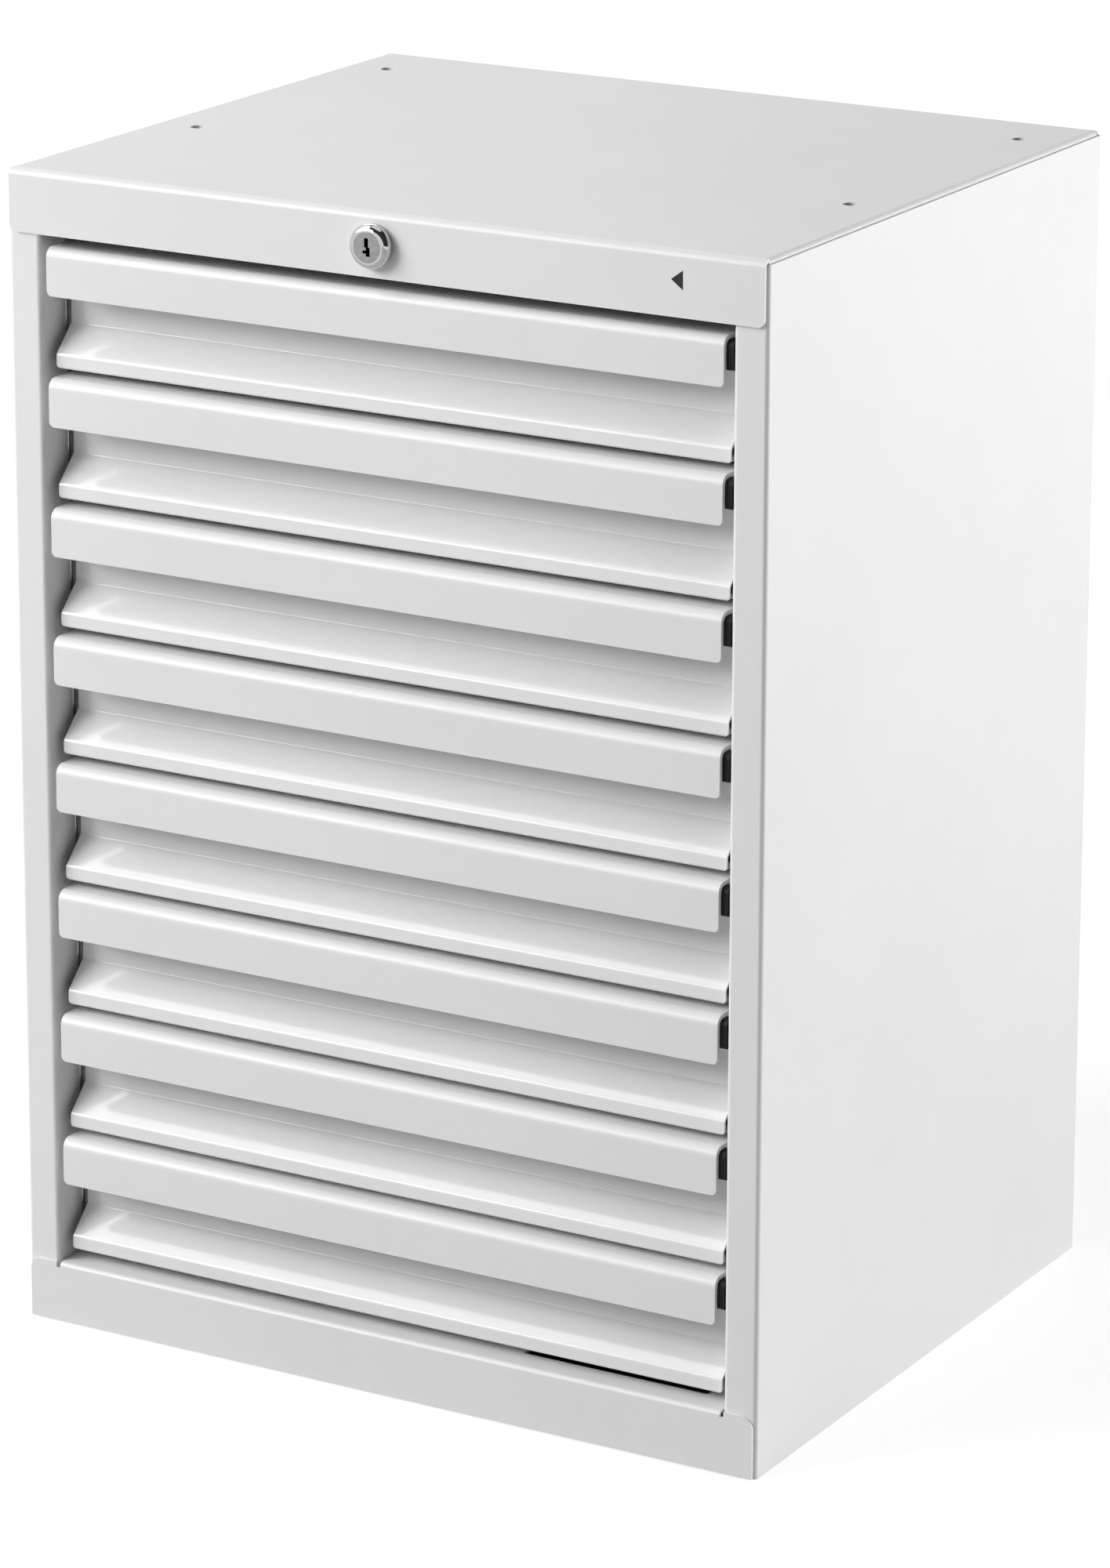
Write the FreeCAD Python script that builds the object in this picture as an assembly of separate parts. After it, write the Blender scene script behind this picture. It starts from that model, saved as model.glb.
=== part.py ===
"""Van drawer unit: a sheet-metal cabinet with eight latching drawers and one lock.

Millimetres. X runs to the right, Z up, and the drawers open towards -Y.
Every shape is built with Y counted from the front face of the stiles, and is moved at the
end so that the origin is the middle of the overall box, at the bottom.
"""
import FreeCAD, Part
import math
import os

from FreeCAD import Vector

# Overall sizes of the cabinet
case_width = 438.0
case_depth = 368.0
drawer_count = 8
drawer_pitch = 68.5
fascia_height = 33.0
kick_height = 33.0
lip_over_kick = 5.6
fascia_gap = 2.4

# Sheet of the cabinet
case_sheet = 1.5
case_bend = 1.0
fascia_bend = 2.5
fascia_corner = 4.0
kick_corner = 6.5
stile_width = 19.0
return_depth = 22.0
rear_flange = 15.0
foot_flange = 42.0
top_flange = 20.0
base_rear_flange = 12.0
panel_gap = 0.2
edge_gap = 0.5
relief_width = 2.2
relief_depth = 3.0

# Slot in the ledge under the bottom drawer
ledge_slot_right_inset = 17.0
ledge_slot_length = 107.0
ledge_slot_front = 15.0
ledge_slot_width = 8.0

# Bolt holes, the same in the top and in the foot flanges
bolt_hole_radius = 4.0
bolt_side_inset = 27.0
bolt_front_inset = 135.0
bolt_rear_inset = 43.0

# Drawer front
front_sheet = 1.2
front_bend = 1.0
lip_bend = 2.0
lip_edge_bend = 0.4
lip_corner = 2.5
front_gap = 3.9
lip_setback = 6.6
lip_height = 7.6
lip_flange = 11.4
recess_depth = 20.7
slope_rise = 13.9
rail_reach = 10.7
rail_lip = 7.0

# Sliding handle
handle_sheet = 2.5
handle_bend = 3.0
handle_rear_bend = 1.0
handle_height = 25.3
handle_corner = 3.0
handle_end_gap = 4.5
handle_proud = 1.2
handle_rear_leg = 10.5
handle_clearance = 0.5

# Latch block
block_bottom_rise = 8.0
block_depth = 7.0
block_length = 34.5
block_corner = 1.5
block_nose_gap = 0.6
arm_thickness = 4.0
arm_depth = 3.5
foot_right_inset = 56.0
foot_width = 10.0
foot_drop = 1.2
strike_margin = 1.2

# Drawer pan
pan_sheet = 1.0
pan_bend = 1.0
pan_height = 48.0
pan_rise = 3.0
pan_hem = 6.0
pan_front_height = 42.0

# Slides, one pair per drawer
slide_rear_inset = 14.9
slide_width = 12.7
slide_height = 45.0
slide_sheet = 1.2
slide_bend = 0.8
slide_ball_gap = 3.05
slide_web_gap = 1.2
slide_outer_depth = 9.0
slide_middle_depth = 7.6
slide_inner_depth = 7.7
slide_rise = 27.0
slide_setback = 3.0
post_width = 30.0
post_setback = 1.0
post_rear_inset = 10.0

# Lock, rod and locking bar
ring_radius = 11.15
ring_rim = 1.1
ring_front_radius = 8.6
ring_height = 6.7
ring_bulge = 1.1
barrel_radius = 9.5
barrel_length = 20.0
barrel_hole_gap = 0.2
plug_radius = 7.65
plug_clearance = 0.05
plug_tail = 2.0
keyway_width = 2.2
keyway_height = 9.2
keyway_depth = 18.0
keyway_jog = 0.9
ward_top = 1.6
ward_bottom = 3.2
rod_radius = 3.0
crank_radius = 6.0
crank_pin_radius = 2.5
crank_web = 4.0
crank_web_wall = 1.5
crank_gap = 1.0
crank_pin_end = 2.0
bar_width = 24.0
bar_thickness = 3.0
bar_setback = 6.0
bar_rear_gap = 11.1
bar_bottom = 48.0
bar_over_lock = 7.0
crank_slot_gap = 0.4
hook_thickness = 1.5
hook_height = 12.0
hook_rise = 36.0
hook_notch = 8.0
hook_notch_gap = 1.5
hook_tail = 7.0
window_half_width = 4.0
window_gap = 1.0
guide_width = 40.0
guide_height = 18.0
guide_front = 3.0
guide_clearance = 0.4
guide_over_bar_end = 4.0
guide_under_lock = 27.0

# How far a cutter runs past the face that it cuts
cut_margin = 1.0

# Sizes that follow from the ones above
case_half = case_width / 2
opening_half = case_half - stile_width
opening_bottom = kick_height + lip_over_kick
opening_top = opening_bottom + drawer_count * drawer_pitch + fascia_gap
case_height = opening_top + fascia_height
side_bend_outer = case_bend + case_sheet
side_height = case_height - side_bend_outer
back_inner = case_depth - 2 * case_sheet
handle_half = opening_half - handle_end_gap
pan_half = opening_half - slide_width
bar_rear = back_inner - bar_rear_gap
bar_front = bar_rear - bar_thickness
pan_front = recess_depth + front_sheet
pan_rear = bar_front - bar_setback
slide_start = return_depth + slide_setback
slide_length = pan_rear - slide_rear_inset - slide_start
bolt_x = case_half - bolt_side_inset
bolt_rows = (bolt_front_inset, case_depth - bolt_rear_inset)
lock_z = case_height - fascia_height / 2
bar_top = lock_z + bar_over_lock
origin_shift = (case_sheet + ring_height - case_depth) / 2


def to_space(plane, u, v, w):
    """Point (u, v) of a plane, w along the plane's normal axis."""
    if plane == "XY":
        return Vector(u, v, w)
    if plane == "XZ":
        return Vector(u, w, v)
    return Vector(w, u, v)


def box(x_range, y_range, z_range):
    """Solid block between the given limits."""
    size = [limits[1] - limits[0] for limits in (x_range, y_range, z_range)]
    return Part.makeBox(size[0], size[1], size[2], Vector(x_range[0], y_range[0], z_range[0]))


def around(centre, half):
    """Limits that lie evenly around a centre."""
    return (centre - half, centre + half)


def cylinder(radius, x, z, y_range):
    """Round bar along Y."""
    return Part.makeCylinder(radius, y_range[1] - y_range[0], Vector(x, y_range[0], z), Vector(0, 1, 0))


def bent_sheet(path, thickness, side, inside_radii, plane, start, length):
    """Folded sheet: its section follows one face along path, and is extruded.

    side is +1 where the metal lies to the left of the path, and -1 to the right.
    inside_radii holds one inside bend radius for each corner of the path.
    """
    face_ends = []
    arcs = []
    for index in range(1, len(path) - 1):
        before = direction(path[index - 1], path[index])
        after = direction(path[index], path[index + 1])
        cross = before[0] * after[1] - before[1] * after[0]
        turn = math.atan2(cross, before[0] * after[0] + before[1] * after[1])
        outer = (turn > 0) == (side > 0)
        inside = inside_radii[index - 1]
        face_radius = inside + thickness if outer else inside
        far_radius = inside if outer else inside + thickness
        tangent = face_radius * math.tan(abs(turn) / 2)
        entry = shifted(path[index], before, -tangent)
        leave = shifted(path[index], after, tangent)
        centre = shifted(entry, normal(before), math.copysign(face_radius, turn))
        face_ends.append((entry, leave))
        arcs.append((centre, before, after, math.copysign(1, turn), face_radius, far_radius))

    def chain(offset, far):
        """Edges along one face of the sheet, from its start to its end."""
        starts = [path[0]] + [pair[1] for pair in face_ends]
        ends = [pair[0] for pair in face_ends] + [path[-1]]
        edges = []
        for index, (begin, finish) in enumerate(zip(starts, ends)):
            across = normal(direction(begin, finish))
            first = to_space(plane, *shifted(begin, across, offset), start)
            last = to_space(plane, *shifted(finish, across, offset), start)
            edges.append((first, last, None))
            if index < len(arcs):
                centre, before, after, sign, face_radius, far_radius = arcs[index]
                radius = far_radius if far else face_radius
                middle = arc_middle(centre, before, after, sign, radius)
                edges.append((None, None, to_space(plane, *middle, start)))
        return edges

    outline = joined(chain(0.0, False), chain(side * thickness, True))
    face = Part.Face(Part.Wire(outline))
    return face.extrude(to_space(plane, 0, 0, length))


def direction(begin, finish):
    """Unit vector from one flat point to another."""
    du, dv = finish[0] - begin[0], finish[1] - begin[1]
    size = math.hypot(du, dv)
    return (du / size, dv / size)


def normal(along):
    """Left-hand normal of a flat direction."""
    return (-along[1], along[0])


def shifted(point, along, distance):
    """Flat point moved along a direction."""
    return (point[0] + along[0] * distance, point[1] + along[1] * distance)


def arc_middle(centre, before, after, sign, radius):
    """Middle point of a bend's arc."""
    outwards = [-sign * (normal(before)[axis] + normal(after)[axis]) for axis in (0, 1)]
    size = math.hypot(*outwards)
    return shifted(centre, (outwards[0] / size, outwards[1] / size), radius)


def joined(near_chain, far_chain):
    """Closed list of edges from a sheet's two faces and its two ends."""
    near = [piece for piece in near_chain if piece[0] is not None]
    far = [piece for piece in far_chain if piece[0] is not None]
    near_arcs = [piece[2] for piece in near_chain if piece[0] is None]
    far_arcs = [piece[2] for piece in far_chain if piece[0] is None]
    edges = []
    for lines, middles in ((near, near_arcs), (far, far_arcs)):
        for index, (first, last, _) in enumerate(lines):
            edges.append(Part.LineSegment(first, last).toShape())
            if index < len(middles):
                edges.append(Part.Arc(last, middles[index], lines[index + 1][0]).toShape())
    edges.append(Part.LineSegment(near[0][0], far[0][0]).toShape())
    edges.append(Part.LineSegment(near[-1][1], far[-1][1]).toShape())
    return Part.__sortEdges__(edges)


def edges_along(shape, axis, **places):
    """Straight edges parallel to an axis that lie at the given coordinates."""
    found = []
    for edge in shape.Edges:
        if not isinstance(edge.Curve, (Part.Line, Part.LineSegment)):
            continue
        span = edge.BoundBox
        middle = {"x": span.Center.x, "y": span.Center.y, "z": span.Center.z}
        lengths = {"x": span.XLength, "y": span.YLength, "z": span.ZLength}
        if max(lengths, key=lengths.get) != axis:
            continue
        if all(abs(middle[name] - value) < 1e-4 for name, value in places.items()):
            found.append(edge)
    return found


def rounded(shape, radius, axis, *places):
    """Shape with the named edges rounded."""
    edges = []
    for place in places:
        edges += edges_along(shape, axis, **place)
    return shape.makeFillet(radius, edges)


def plate_rounded_below(x_half, y_range, z_range, radius):
    """Upright block across the front with its two lower corners rounded."""
    plate = box(around(0, x_half), y_range, z_range)
    corners = [{"x": -x_half, "z": z_range[0]}, {"x": x_half, "z": z_range[0]}]
    return rounded(plate, radius, "y", *corners)


def mirrored(shape):
    """Copy on the other side of the middle plane."""
    return shape.mirror(Vector(0, 0, 0), Vector(1, 0, 0))


def group(solids):
    """Separate solids that share one node."""
    return Part.makeCompound(solids)


def drawer_base(number):
    """Height of the lowest edge of a drawer; number 1 is at the top."""
    return opening_bottom + (drawer_count - number) * drawer_pitch


def handle_top(number):
    return drawer_base(number) + drawer_pitch - front_gap


def handle_bottom(number):
    return handle_top(number) - handle_height


def block_limits(number):
    """Depth and height limits of a latch block's bolt."""
    front = handle_sheet - handle_proud
    low = handle_bottom(number) + block_bottom_rise
    return (front, front + block_depth), (low, handle_top(number) - handle_sheet)


def side_panel():
    """Right-hand side: return, stile, wall and rear flange in one folded sheet."""
    path = [
        (opening_half, return_depth),
        (opening_half, 0),
        (case_half, 0),
        (case_half, case_depth),
        (case_half - rear_flange, case_depth),
    ]
    panel = bent_sheet(path, case_sheet, 1, [case_bend] * 3, "XY", 0, side_height)
    stile_top = case_height - case_sheet - fascia_bend - edge_gap
    above_stile = box(
        (opening_half - cut_margin, case_half - case_sheet),
        (-cut_margin, return_depth + cut_margin),
        (stile_top, case_height),
    )
    foot_y = (return_depth + case_sheet, back_inner - panel_gap)
    foot = box((case_half - foot_flange, case_half - case_sheet), foot_y, (0, case_sheet))
    panel = panel.cut(above_stile).fuse(foot)
    for row in bolt_rows:
        hole = Part.makeCylinder(bolt_hole_radius, 3 * case_sheet, Vector(bolt_x, row, -case_sheet))
        panel = panel.cut(hole)
    return panel.removeSplitter()


def strike_windows():
    """Cutters for the windows that the latch bolts reach on the right."""
    cutters = []
    for number in range(1, drawer_count + 1):
        depth, height = block_limits(number)
        depth = (max(depth[0] - strike_margin, case_sheet + case_bend), depth[1] + strike_margin)
        height = (height[0] - strike_margin, height[1] + strike_margin)
        through = (opening_half - cut_margin, opening_half + case_sheet + cut_margin)
        cutters.append(box(through, depth, height))
    return cutters


def top_panel():
    """Top skin with its fascia, two side flanges and a rear flange."""
    half = case_half - case_sheet - panel_gap
    low = case_height - fascia_height
    flange_low = case_height - top_flange
    path = [
        (-case_sheet, low),
        (-case_sheet, case_height),
        (case_depth, case_height),
        (case_depth, flange_low),
    ]
    panel = bent_sheet(path, case_sheet, -1, [fascia_bend, case_bend], "YZ", -half, 2 * half)
    panel = rounded(panel, fascia_corner, "y", {"x": -half, "z": low}, {"x": half, "z": low})
    bend_x = half - side_bend_outer
    strip_y = (fascia_bend, case_depth - side_bend_outer)
    strip = box((bend_x, case_half), strip_y, (low, case_height + cut_margin))
    side_path = [(bend_x - case_sheet, case_height), (half, case_height), (half, flange_low)]
    side = bent_sheet(side_path, case_sheet, -1, [case_bend], "XZ", strip_y[0], strip_y[1] - strip_y[0])
    panel = panel.cut(strip).cut(mirrored(strip)).fuse([side, mirrored(side)])
    notch_top = side_height + panel_gap
    rear_notch = (back_inner - edge_gap, case_depth + cut_margin)
    rear_x = case_half - rear_flange - panel_gap
    notch = box((rear_x, case_half), rear_notch, (flange_low - cut_margin, notch_top))
    panel = panel.cut(notch).cut(mirrored(notch))
    panel = panel.cut(cylinder(barrel_radius + barrel_hole_gap, 0, lock_z, (-2 * case_sheet, case_sheet)))
    for x in (-bolt_x, bolt_x):
        for row in bolt_rows:
            start = Vector(x, row, case_height - 2 * case_sheet)
            panel = panel.cut(Part.makeCylinder(bolt_hole_radius, 3 * case_sheet, start))
    return panel.removeSplitter()


def back_panel():
    half = case_half - case_sheet - case_bend
    return box((-half, half), (back_inner, case_depth - case_sheet), (0, side_height - edge_gap))


def base_panel():
    """Kick plate in front of the stiles, ledge, floor and rear flange."""
    ledge_half = opening_half - panel_gap
    rear = back_inner - panel_gap
    path = [
        (-case_sheet, 0),
        (-case_sheet, kick_height),
        (rear, kick_height),
        (rear, kick_height - base_rear_flange),
    ]
    length = 2 * ledge_half
    panel = bent_sheet(path, case_sheet, -1, [case_bend] * 2, "YZ", -ledge_half, length)
    wing_half = case_half - side_bend_outer + case_sheet / 2
    wing = box((ledge_half - edge_gap, wing_half), (-case_sheet, 0), (0, kick_height))
    wing = rounded(wing, kick_corner, "y", {"x": wing_half, "z": kick_height})
    floor_y = (return_depth + edge_gap, rear)
    floor_z = (kick_height - case_sheet, kick_height)
    floor = box(around(0, case_half - case_sheet), floor_y, floor_z)
    relief_x = (ledge_half - relief_width / 2, ledge_half + relief_width / 2)
    relief_z = (kick_height - relief_depth, kick_height + cut_margin)
    relief = box(relief_x, (-2 * case_sheet, relief_depth), relief_z)
    panel = panel.fuse([wing, mirrored(wing), floor]).cut(relief).cut(mirrored(relief))
    slot_right = opening_half - ledge_slot_right_inset
    slot_x = (slot_right - ledge_slot_length, slot_right)
    slot_y = (ledge_slot_front, ledge_slot_front + ledge_slot_width)
    return panel.cut(box(slot_x, slot_y, (0, 2 * kick_height))).removeSplitter()


def slide_posts():
    """Four upright channels between the floor and the top's side flanges."""
    rear_post = slide_start + slide_length - post_rear_inset - post_width
    posts = []
    for front in (return_depth + post_setback, rear_post):
        path = [
            (case_half - case_sheet, front),
            (opening_half, front),
            (opening_half, front + post_width),
            (case_half - case_sheet, front + post_width),
        ]
        height = case_height - top_flange - kick_height
        post = bent_sheet(path, case_sheet, -1, [case_bend] * 2, "XY", kick_height, height)
        posts += [post, mirrored(post)]
    return group(posts)


def slide_member(web_x, height, depth, centre_z):
    """Channel along a slide; a positive depth opens it towards -X."""
    side = -1 if depth > 0 else 1
    path = [
        (web_x - depth, centre_z + height / 2),
        (web_x, centre_z + height / 2),
        (web_x, centre_z - height / 2),
        (web_x - depth, centre_z - height / 2),
    ]
    bends = [slide_bend] * 2
    member = bent_sheet(path, slide_sheet, side, bends, "XZ", slide_start, slide_length)
    return [member, mirrored(member)]


def nested_height(level):
    """Height of a slide member that runs inside level others, on its balls."""
    return slide_height - 2 * level * (slide_sheet + slide_ball_gap)


def slide_outer_members():
    members = []
    for number in range(1, drawer_count + 1):
        centre = drawer_base(number) + slide_rise
        members += slide_member(opening_half, nested_height(0), slide_outer_depth, centre)
    return group(members)


def slide_middle(number):
    web = opening_half - slide_sheet - slide_web_gap
    centre = drawer_base(number) + slide_rise
    return group(slide_member(web, nested_height(1), slide_middle_depth, centre))


def slide_inner(number):
    centre = drawer_base(number) + slide_rise
    return group(slide_member(pan_half, nested_height(2), -slide_inner_depth, centre))


def drawer_pan(number):
    """Open tray with hemmed sides, and a hook behind for the locking bar."""
    low = drawer_base(number) + pan_rise
    high = low + pan_height
    path = [(-pan_half, high), (-pan_half, low), (pan_half, low), (pan_half, high)]
    tray = bent_sheet(path, pan_sheet, 1, [pan_bend] * 2, "XZ", pan_front, pan_rear - pan_front)
    corner = pan_bend + pan_sheet
    front_z = (low, low + pan_front_height)
    front = plate_rounded_below(pan_half, (pan_front, pan_front + pan_sheet), front_z, corner)
    back = plate_rounded_below(pan_half, (pan_rear - pan_sheet, pan_rear), (low, high), corner)
    hem_z = (high - pan_hem, high)
    inner = pan_half - pan_sheet
    side_hem = box((inner - pan_sheet, inner), (pan_front, pan_rear), hem_z)
    back_hem = box((-inner, inner), (pan_rear - 2 * pan_sheet, pan_rear - pan_sheet), hem_z)
    hook_low = drawer_base(number) + hook_rise
    hook_z = (hook_low, hook_low + hook_height)
    hook = box(around(0, hook_thickness / 2), (pan_rear - pan_sheet, bar_rear + hook_tail), hook_z)
    notch_y = (bar_front - hook_notch_gap, bar_rear + hook_notch_gap)
    notch_z = (hook_low - cut_margin, hook_low + hook_notch)
    hook = hook.cut(box(around(0, hook_thickness), notch_y, notch_z))
    tray = tray.fuse([front, back, side_hem, mirrored(side_hem), back_hem, hook])
    return tray.removeSplitter()


def drawer_front(number):
    """Folded front: lip, slope, recessed face and the rail that guides the handle."""
    low = drawer_base(number)
    rail_under = handle_top(number) - handle_sheet - handle_clearance - front_sheet
    rail_front = recess_depth - rail_reach
    path = [
        (lip_setback + lip_flange, low),
        (lip_setback, low),
        (lip_setback, low + lip_height),
        (recess_depth, low + lip_height + slope_rise),
        (recess_depth, rail_under),
        (rail_front, rail_under),
        (rail_front, rail_under - rail_lip),
    ]
    bends = [lip_edge_bend, lip_bend, front_bend, front_bend, front_bend]
    length = 2 * handle_half
    front = bent_sheet(path, front_sheet, -1, bends, "YZ", -handle_half, length)
    limits_z = (low, handle_top(number))
    outline = plate_rounded_below(handle_half, (0, pan_front), limits_z, lip_corner)
    return front.common(outline)


def drawer_handle(number):
    """Inverted channel over the rail, with the flat pull in front."""
    front = -handle_proud
    rear = pan_front + handle_clearance + handle_sheet
    top = handle_top(number)
    path = [
        (front, handle_bottom(number)),
        (front, top),
        (rear, top),
        (rear, top - handle_rear_leg),
    ]
    bends = [handle_bend, handle_rear_bend]
    handle = bent_sheet(path, handle_sheet, -1, bends, "YZ", -handle_half, 2 * handle_half)
    corner = {"y": front + handle_sheet / 2, "z": handle_bottom(number)}
    corners = [{"x": x, **corner} for x in (-handle_half, handle_half)]
    return rounded(handle, handle_corner, "y", *corners)


def latch_block(number):
    """Plastic bolt at the handle's right end, with its spring arm and foot."""
    depth, height = block_limits(number)
    nose = opening_half - block_nose_gap
    block = box((nose - block_length, nose), depth, height)
    block = rounded(block, handle_bend, "x", {"y": depth[0], "z": height[1]})
    lower_edges = [{"y": y, "z": height[0]} for y in depth]
    block = rounded(block, block_corner, "x", *lower_edges)
    foot_left = opening_half - foot_right_inset - foot_width
    arm_y = (depth[0] + handle_bend, depth[0] + handle_bend + arm_depth)
    arm_x = (foot_left, nose - block_length + block_corner)
    arm = box(arm_x, arm_y, (height[1] - arm_thickness, height[1]))
    foot_z = (handle_bottom(number) - foot_drop, height[1])
    foot = box((foot_left, foot_left + foot_width), arm_y, foot_z)
    return block.fuse([arm, foot]).removeSplitter()


def lock_cylinder():
    """Chrome ring in front of the fascia and the barrel behind it."""
    face = -case_sheet
    tip = face - ring_height
    bore = plug_radius + plug_clearance
    rim = (ring_radius, face - ring_rim)
    edge = (ring_front_radius, tip)
    middle = ((rim[0] + edge[0]) / 2 + ring_bulge, (rim[1] + edge[1]) / 2 - ring_bulge)
    corners = [(bore, tip), edge, rim, (ring_radius, face), (barrel_radius, face)]
    corners += [(barrel_radius, barrel_length), (bore, barrel_length), (bore, tip)]
    points = [Vector(r, y, lock_z) for r, y in corners]
    edges = [Part.LineSegment(points[0], points[1]).toShape()]
    edges.append(Part.Arc(points[1], Vector(middle[0], middle[1], lock_z), points[2]).toShape())
    for first, last in zip(points[2:-1], points[3:]):
        edges.append(Part.LineSegment(first, last).toShape())
    section = Part.Face(Part.Wire(Part.__sortEdges__(edges)))
    return section.revolve(Vector(0, 0, lock_z), Vector(0, 1, 0), 360)


def lock_plug():
    """Turning core with a stepped keyway."""
    tip = -case_sheet - ring_height
    plug = cylinder(plug_radius, 0, lock_z, (tip, barrel_length + plug_tail))
    depth = (tip - cut_margin, tip + keyway_depth)
    half = keyway_width / 2
    reach = keyway_height / 2
    upper = box(around(-keyway_jog / 2, half), depth, (lock_z, lock_z + reach))
    lower = box(around(keyway_jog / 2, half), depth, (lock_z - reach, lock_z))
    ward_x = around(-keyway_jog / 2 - half, keyway_jog)
    ward = box(ward_x, depth, (lock_z - ward_bottom, lock_z - ward_top))
    return plug.cut(upper.fuse([lower, ward]))


def lock_rod():
    """Rod from the plug to the back, ending in a crank and its pin."""
    web_y = (bar_front - crank_gap - crank_web, bar_front - crank_gap)
    rod = cylinder(rod_radius, 0, lock_z, (barrel_length + plug_tail, web_y[1]))
    eye = crank_pin_radius + crank_web_wall
    web = cylinder(eye, 0, lock_z, web_y).fuse([
        cylinder(eye, -crank_radius, lock_z, web_y),
        box((-crank_radius, 0), web_y, around(lock_z, eye)),
    ])
    pin = cylinder(crank_pin_radius, -crank_radius, lock_z, (web_y[0], bar_rear + crank_pin_end))
    return rod.fuse([web, pin]).removeSplitter()


def lock_bar():
    """Flat bar with a window for each drawer's hook and a slot for the crank."""
    bar = box(around(0, bar_width / 2), (bar_front, bar_rear), (bar_bottom, bar_top))
    through = (bar_front - cut_margin, bar_rear + cut_margin)
    for number in range(1, drawer_count + 1):
        hook_low = drawer_base(number) + hook_rise
        window_z = (hook_low - window_gap, hook_low + hook_height + window_gap)
        bar = bar.cut(box(around(0, window_half_width), through, window_z))
    reach = crank_pin_radius + crank_slot_gap
    # The pin rises along a sine and the bar in proportion, so the slot is that much taller.
    widest_turn = math.acos(2 / math.pi)
    lead = crank_radius * (math.sin(widest_turn) - widest_turn * 2 / math.pi)
    slot = box((-crank_radius - reach, reach), through, (lock_z - reach, lock_z + reach + lead))
    return bar.cut(slot)


def lock_bar_guides():
    """Two angle brackets on the back panel; the bar slides through them."""
    guides = []
    upper = lock_z - guide_under_lock
    for low in (bar_bottom + guide_over_bar_end, upper):
        path = [(bar_front - guide_front, low), (back_inner, low), (back_inner, low + guide_height)]
        guide = bent_sheet(path, case_sheet, 1, [case_bend], "YZ", -guide_width / 2, guide_width)
        slot_y = (bar_front - guide_clearance, bar_rear + guide_clearance)
        slot_x = around(0, bar_width / 2 + guide_clearance)
        slot_z = (low - cut_margin, low + 2 * case_sheet)
        guides.append(guide.cut(box(slot_x, slot_y, slot_z)))
    return group(guides)


def build_nodes():
    """All sub-parts by name."""
    right = side_panel()
    nodes = {
        "left_side_panel": mirrored(right),
        "right_side_panel": right.cut(strike_windows()),
        "top_panel": top_panel(),
        "back_panel": back_panel(),
        "base_panel": base_panel(),
        "slide_posts": slide_posts(),
        "slide_outer_members": slide_outer_members(),
        "lock_cylinder": lock_cylinder(),
        "lock_bar_guides": lock_bar_guides(),
        "lock_plug": lock_plug(),
        "lock_rod": lock_rod(),
        "lock_bar": lock_bar(),
    }
    makers = {
        "pan": drawer_pan,
        "front": drawer_front,
        "handle": drawer_handle,
        "latch_block": latch_block,
        "slide_inner": slide_inner,
        "slide_middle": slide_middle,
    }
    for number in range(1, drawer_count + 1):
        for name, maker in makers.items():
            nodes[f"drawer_{number}_{name}"] = maker(number)
    return nodes


def main():
    os.makedirs("parts", exist_ok=True)
    for name, shape in build_nodes().items():
        shape.translate(Vector(0, origin_shift, 0))
        if not shape.isValid() or shape.Volume <= 0:
            raise ValueError(f"{name} is not a valid solid")
        shape.exportStep(f"parts/{name}.step")
        print(f"{name}: {len(shape.Solids)} solids, {shape.Volume:.0f} mm3")


main()
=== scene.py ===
"""Van drawer unit: materials, small parts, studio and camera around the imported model.

Metres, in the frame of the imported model: X runs to the right, Z up, the drawers open
towards -Y, and the origin is the middle of the unit's footprint.
"""
import math

import bmesh
import bpy
from mathutils import Matrix, Vector


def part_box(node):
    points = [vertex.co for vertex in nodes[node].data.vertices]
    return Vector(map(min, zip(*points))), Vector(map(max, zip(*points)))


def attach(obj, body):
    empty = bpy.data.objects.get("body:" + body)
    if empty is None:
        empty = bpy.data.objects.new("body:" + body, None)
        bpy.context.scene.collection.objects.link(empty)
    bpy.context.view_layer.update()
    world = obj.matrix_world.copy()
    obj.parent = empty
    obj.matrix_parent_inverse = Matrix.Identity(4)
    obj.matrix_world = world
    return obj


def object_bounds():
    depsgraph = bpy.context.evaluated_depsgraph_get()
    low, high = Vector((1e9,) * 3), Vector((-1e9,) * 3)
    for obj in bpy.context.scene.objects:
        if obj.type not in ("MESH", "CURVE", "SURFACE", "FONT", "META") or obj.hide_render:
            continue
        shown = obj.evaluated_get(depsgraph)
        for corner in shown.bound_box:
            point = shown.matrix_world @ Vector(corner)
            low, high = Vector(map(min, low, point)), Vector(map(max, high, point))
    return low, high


mm = 0.001
drawer_count = 8

# Cut edges: how far the coat rounds them on the outer and on the inner sheets
outer_edge = 0.3 * mm
inner_edge = 0.15 * mm
edge_angle = math.radians(50)
flat_angle = math.radians(0.5)
same_place = 0.002 * mm
merge_distance = 0.001 * mm

# Angle in degrees from which a small piece shows an edge, and the one at which none does
sharp_from = 35
never_sharp = 180

# Slides: the channels' depth, the balls in their tracks and the retainers' rows
slide_channel = 7.6 * mm
ball_gap = 3.05 * mm
ball_radius = 1.5 * mm
balls_in_row = 9
rear_row = (165 * mm, 285 * mm)
front_row = (15 * mm, 135 * mm)
cage_width = 4.4 * mm
cage_sheet = 0.7 * mm
cage_rounding = 0.2 * mm

# Rivets and spot welds are sunk into their sheet by this much, so that they join it
sunk = 0.3 * mm

# Rivets in the pans, at these shares of the inner slide member's half length
pan_sheet = 1.0 * mm
rivet_radius = 2.8 * mm
rivet_height = 1.0 * mm
rivet_shares = (-0.8, 0.0, 0.8)
dome_steps = (0, 0.35, 0.65, 0.88, 1.0)
dome_fall = 0.98

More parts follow.
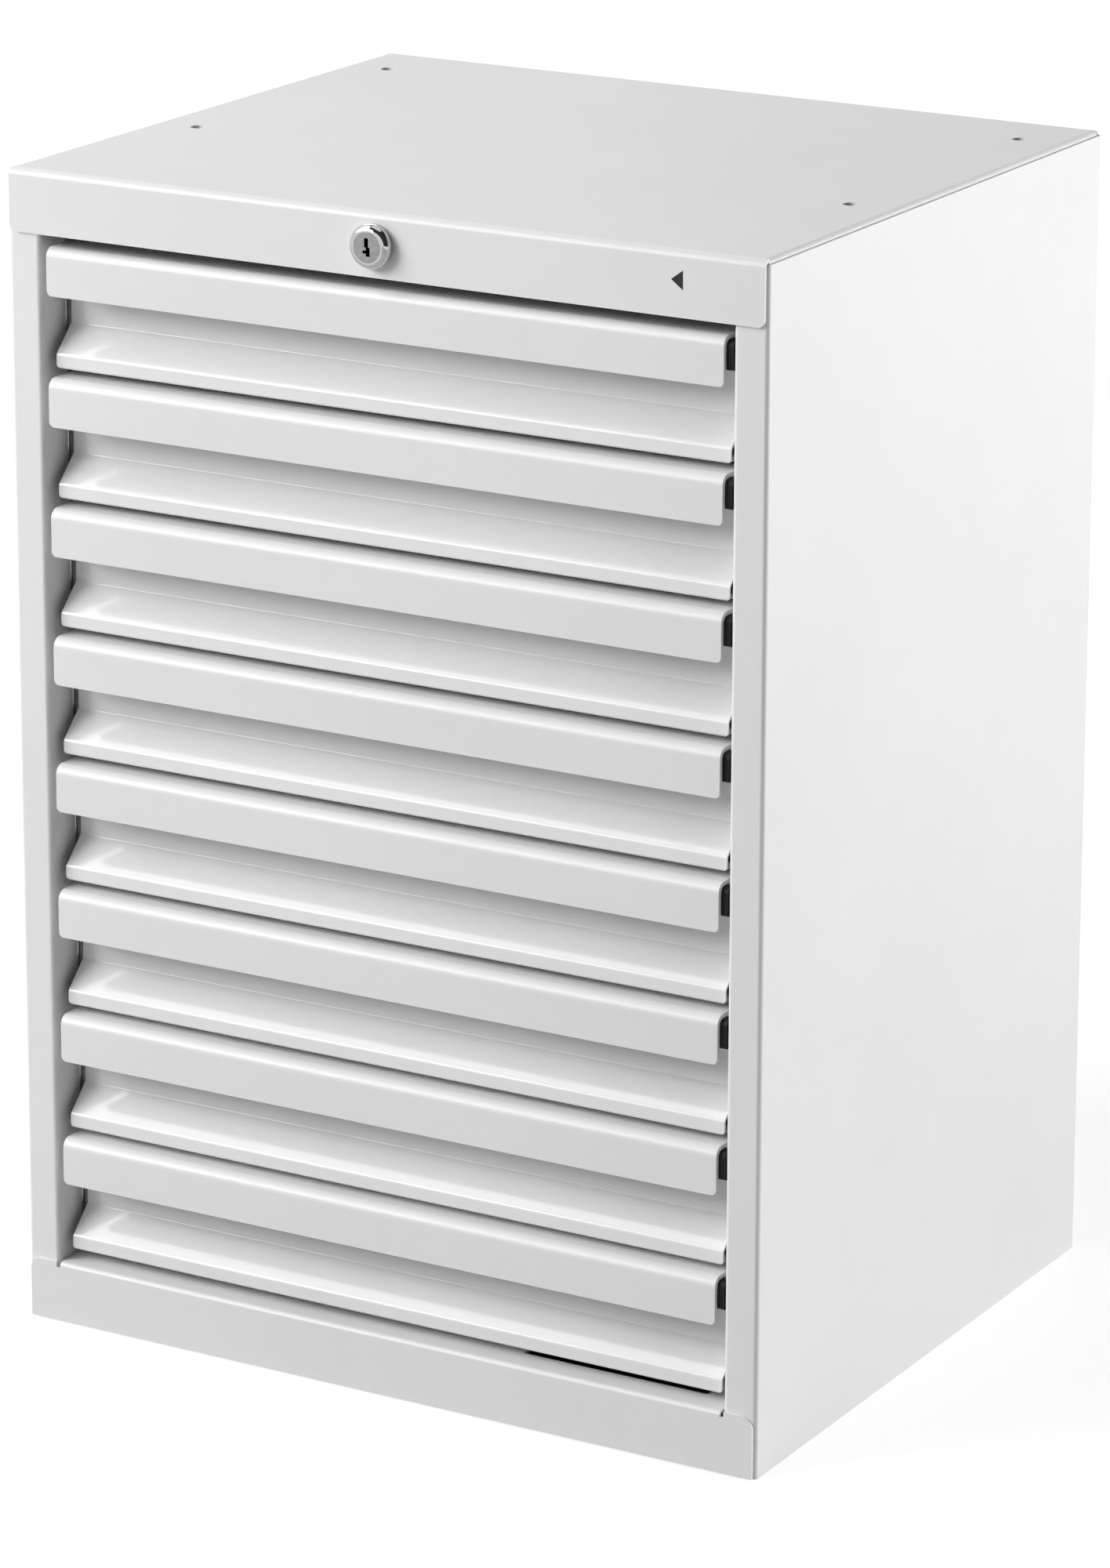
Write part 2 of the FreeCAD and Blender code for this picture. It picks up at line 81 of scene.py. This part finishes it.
# Spot welds on the rear flanges: (radius, height) of a mark in mm, and where the marks are
weld_profile = ((0, -0.05), (1.8, 0), (2.3, 0.08), (3.0, 0.06), (3.4, 0))
side_weld_shares = (-0.9, -0.6, -0.3, 0.0, 0.3, 0.6, 0.86)
side_weld_inset = 7.5 * mm
top_weld_shares = (-0.75, -0.45, -0.15, 0.15, 0.45, 0.75)
top_weld_drop = 11 * mm

# Arrow on the fascia
arrow_tip_x = 166.5 * mm
arrow_right_x = 173.0 * mm
arrow_z = 607.5 * mm
arrow_height = 9.6 * mm
arrow_proud = 0.06 * mm
arrow_depth = 0.05 * mm

# Nut and washer behind the fascia; their bore lies inside the barrel's thread
nut_bore = 9.4 * mm
nut_sides = 6
nut_corner_radius = 13.2 * mm
nut_top_radius = 12.2 * mm
nut_height = 5.2 * mm
nut_shoulder = 4.4 * mm
nut_lead_in = 0.6 * mm
washer_radius = 14.4 * mm
washer_steps = 36
washer_span = (0.1 * mm, 0.9 * mm)

# Camera, measured from the photograph
camera_place = (1.5741, -2.7306, 1.2564)
camera_yaw = math.radians(29.990)
camera_pitch = math.radians(15.042)
camera_roll = math.radians(0.135)
camera_lens = 143.356
camera_shift = -0.15
camera_reach = 100

# World: how much it lights, and the directions between two corners that reflections see dark
world_light = 0.12
dark_card = ((-0.46, -0.93, -0.12), (1.2, 0.50, 0.95))
dark_card_edge = 0.08
dark_card_level = 0.04

# Floor: its tone, and how much it glows for the camera and for reflections
floor_half = 30
floor_tone = (0.55, 0.55, 0.55)
floor_white = 0.7
floor_glow = (0.2, 0.95)
floor_lit = (-0.5, -1.6, 0)
floor_reach = (1.5, 5.0)
# Shares of the unit's half width and half depth between which the floor's glow begins
glow_edge = (0.93, 0.99)

# name, place, aim, width, height, power
lamps = (
    ("slope_glint", (-1.72, -1.17, 2.9), (0, -0.17, 0.3), 1.15, 1.15, 16),
    ("left_key", (-2.7, -2.4, 2.2), (0, -0.1, 0.35), 2.4, 1.7, 95),
    ("front_fill", (-1.9, -2.8, 2.1), (0, -0.1, 0.35), 2.4, 1.7, 34),
    ("right_side", (3.9, 2.3, 0.6), (0.2, 0.1, 0.3), 2.8, 1.2, 172),
    ("left_rear", (-1.4, 1.4, 2.4), (0, 0, 0.4), 1.6, 1.6, 11),
)

# Most of a noise's values lie in this span
noise_span = (0.3, 0.7)
coat_tones = ((0.845, 0.845, 0.842), (0.872, 0.872, 0.87))
handle_tones = ((0.84, 0.84, 0.837), (0.868, 0.868, 0.866))
zinc_tones = ((0.55, 0.56, 0.57), (0.70, 0.70, 0.69))
chrome_tones = ((0.54, 0.54, 0.55), (0.58, 0.58, 0.59))
nickel_tones = ((0.30, 0.30, 0.30), (0.40, 0.40, 0.40))
ball_tones = ((0.58, 0.58, 0.59), (0.66, 0.66, 0.67))
plastic_tones = ((0.008, 0.008, 0.008), (0.014, 0.014, 0.014))
print_tones = ((0.02, 0.02, 0.02), (0.032, 0.032, 0.032))

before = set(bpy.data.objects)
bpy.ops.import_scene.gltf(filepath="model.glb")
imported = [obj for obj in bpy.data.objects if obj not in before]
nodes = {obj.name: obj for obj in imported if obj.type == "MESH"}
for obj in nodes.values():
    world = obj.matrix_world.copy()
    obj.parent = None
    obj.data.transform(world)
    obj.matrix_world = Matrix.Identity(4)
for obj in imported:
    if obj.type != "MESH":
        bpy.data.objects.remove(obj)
cad_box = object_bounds()
scene = bpy.context.scene


def mapped(tree, value, from_range, to_range, smooth=False):
    """Maps a number from one range to another."""
    node = tree.nodes.new("ShaderNodeMapRange")
    if smooth:
        node.interpolation_type = "SMOOTHSTEP"
    for name, number in zip(("From Min", "From Max", "To Min", "To Max"), (*from_range, *to_range)):
        node.inputs[name].default_value = number
    tree.links.new(value, node.inputs["Value"])
    return node.outputs["Result"]


def combined(tree, operation, first, second):
    """Result of a sum, a product, or the larger or smaller of two numbers."""
    node = tree.nodes.new("ShaderNodeMath")
    node.operation = operation
    tree.links.new(first, node.inputs[0])
    tree.links.new(second, node.inputs[1])
    return node.outputs[0]


class Shading:
    """Builds one procedural material, node by node."""

    def __init__(self, name):
        self.material = bpy.data.materials.new(name)
        self.material.use_nodes = True
        self.tree = self.material.node_tree
        self.shader = self.tree.nodes["Principled BSDF"]
        self.place = self.add("ShaderNodeTexCoord").outputs["Object"]

    def add(self, kind, **settings):
        node = self.tree.nodes.new(kind)
        for name, value in settings.items():
            setattr(node, name, value)
        return node

    def link(self, output, target):
        self.tree.links.new(output, target)

    def noise(self, scale, detail=2.0, stretch=(1, 1, 1)):
        """Noise in the piece's own coordinates; scale is in cells per metre."""
        mapping = self.add("ShaderNodeMapping")
        mapping.inputs["Scale"].default_value = stretch
        self.link(self.place, mapping.inputs["Vector"])
        noise = self.add("ShaderNodeTexNoise")
        noise.inputs["Scale"].default_value = scale
        noise.inputs["Detail"].default_value = detail
        noise.inputs["Roughness"].default_value = 0.5
        self.link(mapping.outputs["Vector"], noise.inputs["Vector"])
        return noise.outputs["Fac"]

    def tint(self, factor, tones):
        """Colour between two tones."""
        mix = self.add("ShaderNodeMix", data_type="RGBA")
        colours = [socket for socket in mix.inputs if socket.type == "RGBA"]
        for socket, tone in zip(colours, tones):
            socket.default_value = (*tone, 1)
        self.link(mapped(self.tree, factor, noise_span, (0, 1)), mix.inputs["Factor"])
        result = [socket for socket in mix.outputs if socket.type == "RGBA"][0]
        self.link(result, self.shader.inputs["Base Color"])

    def roughness(self, factor, low, high):
        value = mapped(self.tree, factor, noise_span, (low, high))
        self.link(value, self.shader.inputs["Roughness"])

    def bumps(self, *layers):
        """Bump from several noises; each layer is (factor, height in metres)."""
        previous = None
        for factor, height in layers:
            bump = self.add("ShaderNodeBump")
            bump.inputs["Distance"].default_value = height
            self.link(factor, bump.inputs["Height"])
            if previous is not None:
                self.link(previous, bump.inputs["Normal"])
            previous = bump.outputs["Normal"]
        self.link(previous, self.shader.inputs["Normal"])

    def set(self, **values):
        """Constant values, straight on the shader's own sockets."""
        for name, value in values.items():
            self.shader.inputs[name.replace("_", " ")].default_value = value


def powder_coat(name, tones, rough, peel_height):
    """White coat: soft gloss over a fine orange peel, with faint clouds of tone."""
    look = Shading(name)
    look.tint(look.noise(7.0, detail=3), tones)
    look.roughness(look.noise(60.0), rough - 0.03, rough + 0.03)
    coarse = (look.noise(700.0, detail=1), peel_height)
    fine = (look.noise(2600.0, detail=1), peel_height / 4)
    look.bumps(coarse, fine)
    look.set(IOR=1.5)
    return look.material


def metal(name, tones, rough, grain, height, stretch=(1, 1, 1)):
    """Bare or plated metal with a fine grain."""
    look = Shading(name)
    look.tint(look.noise(grain / 8, detail=4, stretch=stretch), tones)
    look.roughness(look.noise(grain, stretch=stretch), rough * 0.8, rough * 1.25)
    look.bumps((look.noise(grain, detail=2, stretch=stretch), height))
    look.set(Metallic=1.0)
    return look.material


def turned_metal(name, tones, rough, node, ring_scale):
    """Metal faced on a lathe: fine rings about the node's own middle line along Y."""
    look = Shading(name)
    low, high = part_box(node)
    middle = (low + high) / 2
    look.tint(look.noise(260.0, detail=4), tones)
    look.roughness(look.noise(2200.0), rough * 0.85, rough * 1.2)
    mapping = look.add("ShaderNodeMapping")
    mapping.inputs["Location"].default_value = -middle
    look.link(look.place, mapping.inputs["Vector"])
    rings = look.add("ShaderNodeTexWave", wave_type="RINGS", rings_direction="Y")
    rings.inputs["Scale"].default_value = ring_scale
    rings.inputs["Distortion"].default_value = 0.6
    look.link(mapping.outputs["Vector"], rings.inputs["Vector"])
    look.bumps((rings.outputs["Fac"], 0.000004), (look.noise(2600.0, detail=1), 0.000002))
    look.set(Metallic=1.0)
    return look.material


def plastic(name, tones, rough):
    """Moulded plastic with a fine spark-eroded grain."""
    look = Shading(name)
    look.tint(look.noise(90.0, detail=3), tones)
    look.roughness(look.noise(300.0), rough - 0.05, rough + 0.08)
    look.bumps((look.noise(1800.0, detail=1), 0.00002))
    look.set(IOR=1.5, Specular_IOR_Level=0.25)
    return look.material


looks = {
    "white_panel": powder_coat("white_panel_coat", coat_tones, 0.34, 0.00002),
    "white_drawer": powder_coat("white_drawer_coat", coat_tones, 0.11, 0.00001),
    "white_handle": powder_coat("white_handle_coat", handle_tones, 0.34, 0.00003),
    "zinc_steel": metal("zinc_plate", zinc_tones, 0.32, 900.0, 0.000004, (1, 0.1, 1)),
    "chrome": metal("chrome_plate", chrome_tones, 0.06, 500.0, 0.0000005),
    "satin_plug": turned_metal("satin_nickel", nickel_tones, 0.25, "lock_plug", 500.0),
    "black_plastic": plastic("black_moulding", plastic_tones, 0.6),
}
steel_ball = metal("steel_ball", ball_tones, 0.12, 900.0, 0.0000005)
printed_black = plastic("printed_black", print_tones, 0.5)


def dress_frame():
    """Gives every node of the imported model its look."""
    for node in nodes.values():
        for slot in node.material_slots:
            slot.material = looks[slot.material.name.split(".")[0]]


def soften(piece, width, segments):
    """Rounds the cut edges of a sheet a little, as the coat does."""
    weld = piece.modifiers.new("joined", "WELD")
    weld.merge_threshold = same_place
    flat = piece.modifiers.new("flat_faces", "DECIMATE")
    flat.decimate_type = "DISSOLVE"
    flat.angle_limit = flat_angle
    bevel = piece.modifiers.new("soft_edges", "BEVEL")
    bevel.width = width
    bevel.segments = segments
    bevel.limit_method = "ANGLE"
    bevel.angle_limit = edge_angle
    even = piece.modifiers.new("even_shading", "WEIGHTED_NORMAL")
    even.keep_sharp = False


def soften_sheets():
    """Rounds the edges in two steps on what shows outside, and in one step inside."""
    outer = ["left_side_panel", "right_side_panel", "top_panel", "base_panel", "back_panel"]
    inner = ["lock_plug", "lock_rod", "lock_bar", "lock_bar_guides", "slide_posts", "slide_outer_members"]
    for number in range(1, drawer_count + 1):
        outer += [f"drawer_{number}_{part}" for part in ("handle", "front", "latch_block")]
        inner += [f"drawer_{number}_{part}" for part in ("pan", "slide_inner", "slide_middle")]
    for name in outer:
        soften(nodes[name], outer_edge, 2)
    for name in inner:
        soften(nodes[name], inner_edge, 1)


def span(node):
    """Middle and half size of a CAD node's box."""
    low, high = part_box(node)
    return (low + high) / 2, (high - low) / 2


def finished_piece(shape, name, look, body, sharp_angle=sharp_from):
    """Turns a bmesh into a named piece that rides on a body."""
    bmesh.ops.remove_doubles(shape, verts=shape.verts, dist=merge_distance)
    bmesh.ops.recalc_face_normals(shape, faces=shape.faces)
    mesh = bpy.data.meshes.new(name)
    shape.to_mesh(mesh)
    shape.free()
    mesh.shade_smooth()
    mesh.set_sharp_from_angle(angle=math.radians(sharp_angle))
    mesh.materials.append(look)
    piece = bpy.data.objects.new(name, mesh)
    scene.collection.objects.link(piece)
    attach(piece, body)


def add_block(shape, low, high, round_by):
    """Block between two corners, with its edges rounded."""
    size = [top - bottom for bottom, top in zip(low, high)]
    middle = [(top + bottom) / 2 for bottom, top in zip(low, high)]
    place = Matrix.Translation(middle) @ Matrix.Diagonal((*size, 1))
    corners = bmesh.ops.create_cube(shape, size=1, matrix=place)["verts"]
    edges = list({edge for corner in corners for edge in corner.link_edges})
    bmesh.ops.bevel(shape, geom=edges, offset=round_by, segments=2, affect="EDGES")


def add_turned(shape, profile, centre, axis, steps=24):
    """Solid of revolution; profile is (radius, height along the axis) from tip to base."""
    turn = Vector(axis).to_track_quat("Z", "Y").to_matrix().to_4x4()
    place = Matrix.Translation(centre) @ turn
    rings = []
    for radius, height in profile:
        if radius == 0:
            rings.append([shape.verts.new(place @ Vector((0, 0, height)))])
            continue
        angles = [2 * math.pi * step / steps for step in range(steps)]
        ring = [place @ Vector((radius * math.cos(a), radius * math.sin(a), height)) for a in angles]
        rings.append([shape.verts.new(point) for point in ring])
    for upper, lower in zip(rings, rings[1:]):
        for step in range(steps):
            following = (step + 1) % steps
            corners = [upper[step % len(upper)], lower[step % len(lower)]]
            corners += [lower[following % len(lower)], upper[following % len(upper)]]
            shape.faces.new(list(dict.fromkeys(corners)))


def rooted(profile):
    """Profile with its rim carried down into the sheet and closed."""
    rim = profile[-1][0]
    return [*profile, (rim, -sunk), (0, -sunk)]


def build_slide_rows(number):
    """Balls and their retainers, which travel with the middle slide members."""
    middle, half_middle = span(f"drawer_{number}_slide_middle")
    half_inner = span(f"drawer_{number}_slide_inner")[1]
    web = half_middle.x
    open_edge = web - slide_channel
    rows = (
        (half_middle.z + ball_gap / 2, (open_edge + web) / 2, rear_row),
        (half_inner.z + ball_gap / 2, (open_edge + half_inner.x) / 2, front_row),
    )
    balls = bmesh.new()
    cages = bmesh.new()
    start = middle.y - half_middle.y
    for rise, reach, (first, last) in rows:
        pitch = (last - first) / (balls_in_row - 1)
        for side in (-1, 1):
            x = side * reach
            for end in (-1, 1):
                z = middle.z + end * rise
                for index in range(balls_in_row):
                    place = Matrix.Translation((x, start + first + index * pitch, z))
                    bmesh.ops.create_icosphere(balls, subdivisions=2, radius=ball_radius, matrix=place)
                low = (x - cage_width / 2, start + first - pitch / 2, z - cage_sheet / 2)
                high = (x + cage_width / 2, start + last + pitch / 2, z + cage_sheet / 2)
                add_block(cages, low, high, cage_rounding)
    body = f"slide_{number}"
    finished_piece(balls, f"slide_{number}_balls", steel_ball, body, never_sharp)
    finished_piece(cages, f"slide_{number}_ball_cages", looks["zinc_steel"], body)


def build_slide_rivets(number):
    """Rivets that hold the inner slide members to the pan, seen inside the drawer."""
    inner, half_inner = span(f"drawer_{number}_slide_inner")
    wall = span(f"drawer_{number}_pan")[1].x - pan_sheet
    dome = rooted([
        (rivet_radius * share, rivet_height * math.sqrt(1 - share * share * dome_fall))
        for share in dome_steps
    ])
    heads = bmesh.new()
    for side in (-1, 1):
        for share in rivet_shares:
            centre = (side * wall, inner.y + share * half_inner.y, inner.z)
            add_turned(heads, dome, centre, (-side, 0, 0))
    body = f"drawer_{number}"
    finished_piece(heads, f"{body}_slide_rivets", looks["zinc_steel"], body)


def build_weld_marks():
    """Spot welds that show through the coat on the rear flanges."""
    side, half_side = span("right_side_panel")
    top, half_top = span("top_panel")
    rear = side.y + half_side.y
    profile = rooted([(radius * mm, height * mm) for radius, height in weld_profile])
    flange_x = half_top.x - side_weld_inset
    flange_z = top.z + half_top.z - top_weld_drop
    centres = [
        (edge * flange_x, rear, side.z + share * half_side.z)
        for edge in (-1, 1)
        for share in side_weld_shares
    ]
    centres += [(share * half_top.x, rear, flange_z) for share in top_weld_shares]
    marks = bmesh.new()
    for centre in centres:
        add_turned(marks, profile, centre, (0, 1, 0))
    coat = looks["white_panel"]
    finished_piece(marks, "rear_weld_marks", coat, "root", never_sharp)


def build_arrow():
    """Printed arrow on the fascia: the way that a handle slides to unlatch."""
    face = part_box("base_panel")[0].y
    low_z = arrow_z - arrow_height / 2
    outline = [(arrow_tip_x, arrow_z), (arrow_right_x, low_z), (arrow_right_x, low_z + arrow_height)]
    shape = bmesh.new()
    front = [shape.verts.new((x, face - arrow_proud, z)) for x, z in outline]
    back = [shape.verts.new((x, face + arrow_depth, z)) for x, z in outline]
    shape.faces.new(front)
    shape.faces.new(back[::-1])
    for index in range(len(outline)):
        following = (index + 1) % len(outline)
        shape.faces.new((front[index], back[index], back[following], front[following]))
    finished_piece(shape, "unlatch_arrow", printed_black, "root")


def build_lock_nut():
    """Nut that holds the lock's barrel behind the fascia, with its washer."""
    barrel = span("lock_cylinder")[0]
    sheet_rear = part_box("right_side_panel")[0].y
    centre = (barrel.x, sheet_rear, barrel.z)
    bottom, seat = washer_span
    nut = [
        (nut_bore, seat),
        (nut_corner_radius, seat),
        (nut_corner_radius, nut_shoulder),
        (nut_top_radius, nut_height),
        (nut_bore + nut_lead_in, nut_height),
        (nut_bore, nut_height - nut_lead_in),
        (nut_bore, seat),
    ]
    washer = [
        (nut_bore, bottom),
        (washer_radius, bottom),
        (washer_radius, seat),
        (nut_bore, seat),
        (nut_bore, bottom),
    ]
    shape = bmesh.new()
    add_turned(shape, nut, centre, (0, 1, 0), nut_sides)
    add_turned(shape, washer, centre, (0, 1, 0), washer_steps)
    finished_piece(shape, "lock_nut_and_washer", looks["zinc_steel"], "root")


def build_camera():
    """Camera at the photograph's viewing angle."""
    level = Vector((math.cos(camera_yaw), math.sin(camera_yaw), 0))
    forward = Vector((
        -math.sin(camera_yaw) * math.cos(camera_pitch),
        math.cos(camera_yaw) * math.cos(camera_pitch),
        -math.sin(camera_pitch),
    ))
    upright = level.cross(forward)
    right = math.cos(camera_roll) * level + math.sin(camera_roll) * upright
    up = math.cos(camera_roll) * upright - math.sin(camera_roll) * level
    turn = Matrix((right, up, -forward)).transposed()
    data = bpy.data.cameras.new("photo_camera")
    data.lens = camera_lens
    data.shift_y = camera_shift
    data.clip_end = camera_reach
    camera = bpy.data.objects.new("photo_camera", data)
    camera.matrix_world = Matrix.Translation(camera_place) @ turn.to_4x4()
    scene.collection.objects.link(camera)
    scene.camera = camera


def area_lamp(name, place, target, width, height, power):
    """Rectangular lamp that the camera doesn't see."""
    data = bpy.data.lights.new(name, "AREA")
    data.shape = "RECTANGLE"
    data.size = width
    data.size_y = height
    data.energy = power
    lamp = bpy.data.objects.new(name, data)
    aim = Vector(target) - Vector(place)
    lamp.matrix_world = Matrix.Translation(place) @ aim.to_track_quat("-Z", "Y").to_matrix().to_4x4()
    lamp.visible_camera = False
    scene.collection.objects.link(lamp)


def seen_rays(tree):
    """1 for camera rays, and 1 for all that show a background: also mirrored or let through."""
    rays = tree.nodes.new("ShaderNodeLightPath").outputs
    beyond = combined(tree, "MAXIMUM", rays["Is Glossy Ray"], rays["Is Transmission Ray"])
    return rays["Is Camera Ray"], combined(tree, "MAXIMUM", rays["Is Camera Ray"], beyond)


def in_dark_card(tree, towards):
    """1 for the directions that lie between the dark card's corners, with soft edges."""
    inside = None
    for output, low, high in zip(towards, *dark_card):
        above = mapped(tree, output, (low, low + dark_card_edge), (0, 1), smooth=True)
        below = mapped(tree, output, (high - dark_card_edge, high), (1, 0), smooth=True)
        both = combined(tree, "MINIMUM", above, below)
        inside = both if inside is None else combined(tree, "MINIMUM", inside, both)
    return inside


def build_world():
    """White background that lights little, with one dark stretch for bright metal to show."""
    world = bpy.data.worlds.new("studio")
    world.use_nodes = True
    scene.world = world
    tree = world.node_tree
    background = tree.nodes["Background"]
    background.inputs["Color"].default_value = (1, 1, 1, 1)
    camera, seen = seen_rays(tree)
    towards = tree.nodes.new("ShaderNodeSeparateXYZ")
    tree.links.new(tree.nodes.new("ShaderNodeTexCoord").outputs["Generated"], towards.inputs[0])
    inside = in_dark_card(tree, towards.outputs)
    mirror_level = mapped(tree, inside, (0, 1), (1.0, dark_card_level), smooth=True)
    shown = combined(tree, "MAXIMUM", mirror_level, camera)
    light = mapped(tree, seen, (0, 1), (world_light, 0))
    strength = combined(tree, "ADD", combined(tree, "MULTIPLY", shown, seen), light)
    tree.links.new(strength, background.inputs["Strength"])


def outside_footprint(look):
    """0 under the unit, so that its slot and gaps look down on a dark floor, and 1 around it."""
    aside = look.add("ShaderNodeVectorMath", operation="ABSOLUTE")
    look.link(look.place, aside.inputs[0])
    reach = look.add("ShaderNodeSeparateXYZ")
    look.link(aside.outputs["Vector"], reach.inputs[0])
    beyond = []
    for output, half in zip(reach.outputs[:2], cad_box[1][:2]):
        edge = [share * half for share in glow_edge]
        beyond.append(mapped(look.tree, output, edge, (0, 1)))
    return combined(look.tree, "MAXIMUM", *beyond)


def floor_look():
    """Pale matt floor that glows white for the camera, and in reflections far from the lit spot."""
    look = Shading("floor_white")
    look.set(Base_Color=(*floor_tone, 1), Roughness=0.9, Specular_IOR_Level=0.0)
    look.set(Emission_Color=(1, 1, 1, 1))
    away = look.add("ShaderNodeVectorMath", operation="DISTANCE")
    away.inputs[1].default_value = floor_lit
    look.link(look.place, away.inputs[0])
    camera, seen = seen_rays(look.tree)
    mirrored_glow = mapped(look.tree, away.outputs["Value"], floor_reach, floor_glow, smooth=True)
    mirrored_glow = combined(look.tree, "MULTIPLY", mirrored_glow, seen)
    camera_glow = mapped(look.tree, camera, (0, 1), (0, floor_white))
    glow = combined(look.tree, "MAXIMUM", mirrored_glow, camera_glow)
    glow = combined(look.tree, "MULTIPLY", glow, outside_footprint(look))
    look.link(glow, look.shader.inputs["Emission Strength"])
    return look.material


def build_floor():
    """Pale floor, lifted to white around the unit's soft shadow."""
    mesh = bpy.data.meshes.new("studio_floor")
    shape = bmesh.new()
    bmesh.ops.create_grid(shape, x_segments=1, y_segments=1, size=floor_half)
    shape.to_mesh(mesh)
    shape.free()
    mesh.materials.append(floor_look())
    floor = bpy.data.objects.new("studio_floor", mesh)
    scene.collection.objects.link(floor)


def build_studio():
    """Pale floor, soft lamps, and a background that shows white."""
    scene.view_settings.view_transform = "Standard"
    build_world()
    build_floor()
    for lamp in lamps:
        area_lamp(*lamp)


dress_frame()
soften_sheets()
for number in range(1, drawer_count + 1):
    build_slide_rows(number)
    build_slide_rivets(number)
build_weld_marks()
build_arrow()
build_lock_nut()
build_camera()
build_studio()
